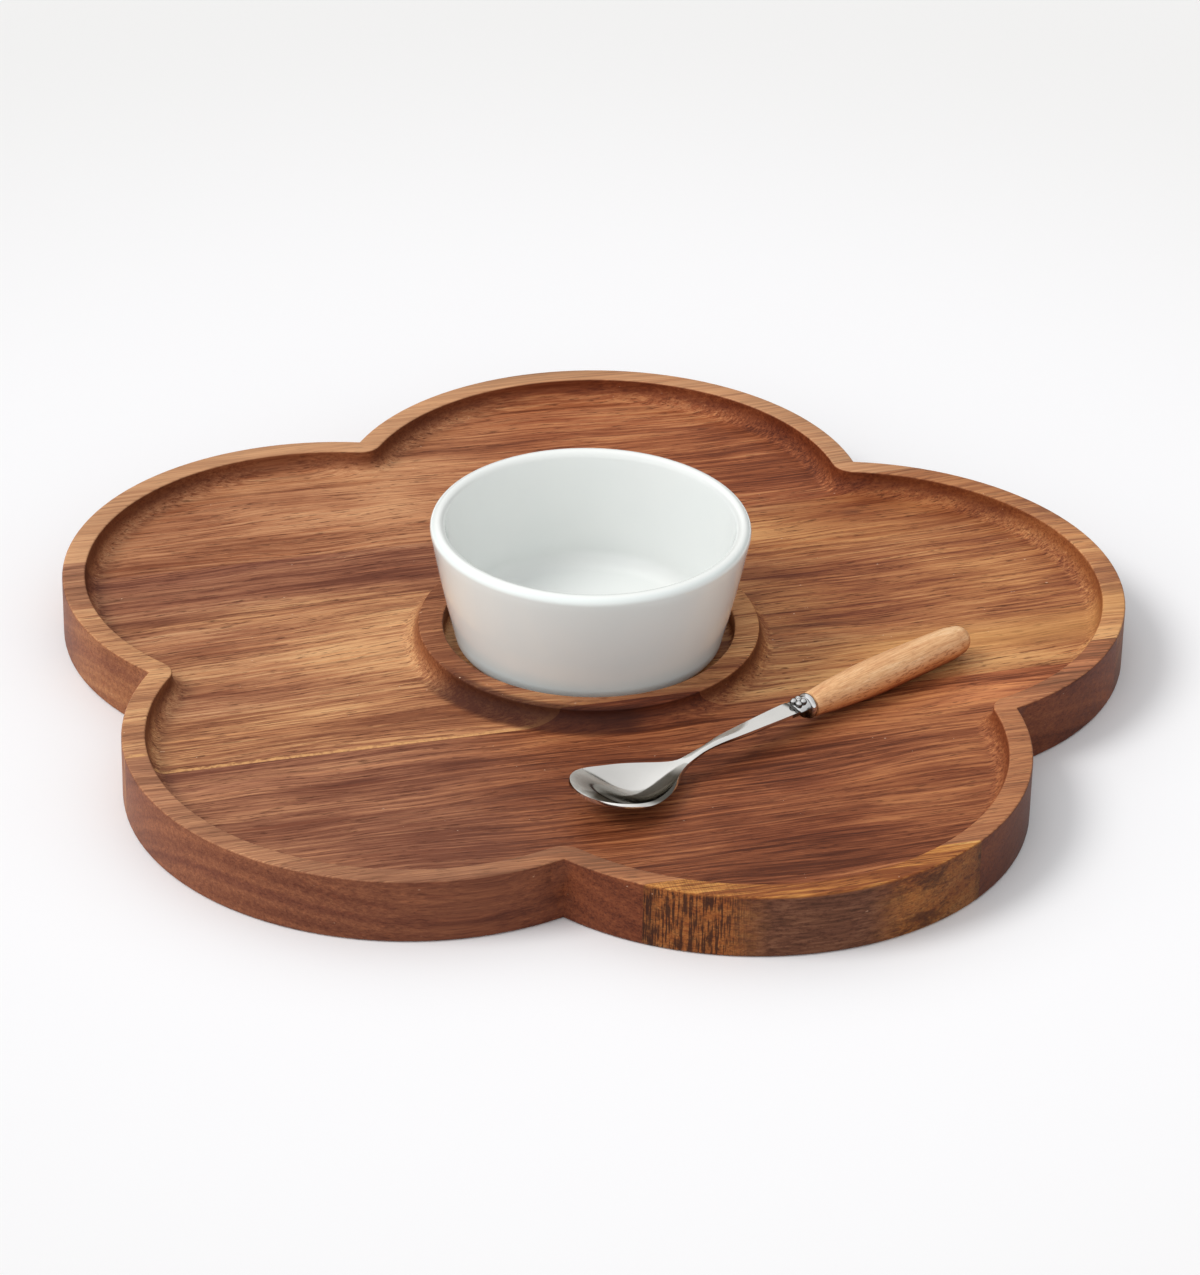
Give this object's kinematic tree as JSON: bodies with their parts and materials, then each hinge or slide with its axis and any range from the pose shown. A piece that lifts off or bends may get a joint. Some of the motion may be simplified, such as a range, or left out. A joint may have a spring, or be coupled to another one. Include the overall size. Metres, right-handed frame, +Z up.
{
  "type": "chip and dip server",
  "caption": "Flower-shaped wooden serving tray with a routed chip recess, a raised central collar holding a white ceramic dip bowl, and a steel spoon with a turned wooden handle.",
  "frame": {"origin": "middle of the tray's underside, where the axes of its petals meet", "axes": "+Z up, out of the tray; +X along the staves and through the middle of one petal; +Y across the staves, towards the back stave"},
  "size_m": [0.3619, 0.3708, 0.0617],
  "materials": {
    "acacia": "oiled, satin",
    "acacia_sapwood": "oiled, satin",
    "glaze": "glossy white glaze",
    "steel": "polished stainless",
    "chrome": "polished",
    "beech": "clear lacquer, satin"
  },
  "bodies": {
    "tray": {"back_stave": "acacia", "middle_stave": "acacia", "front_stave": "acacia", "front_edge_strip": "acacia_sapwood"},
    "bowl": {"dip_bowl": "glaze"},
    "spoon": {"spoon_blade": "steel", "spoon_ferrule": "chrome", "spoon_handle": "beech"}
  },
  "joints": [
    {"name": "bowl_lift", "type": "slide", "parent": "tray", "child": "bowl", "axis": [0, 0, 1], "range_m": [0, 0.08]},
    {"name": "spoon_lift", "type": "slide", "parent": "tray", "child": "spoon", "axis": [0, 0, 1], "range_m": [0, 0.06]}
  ]
}
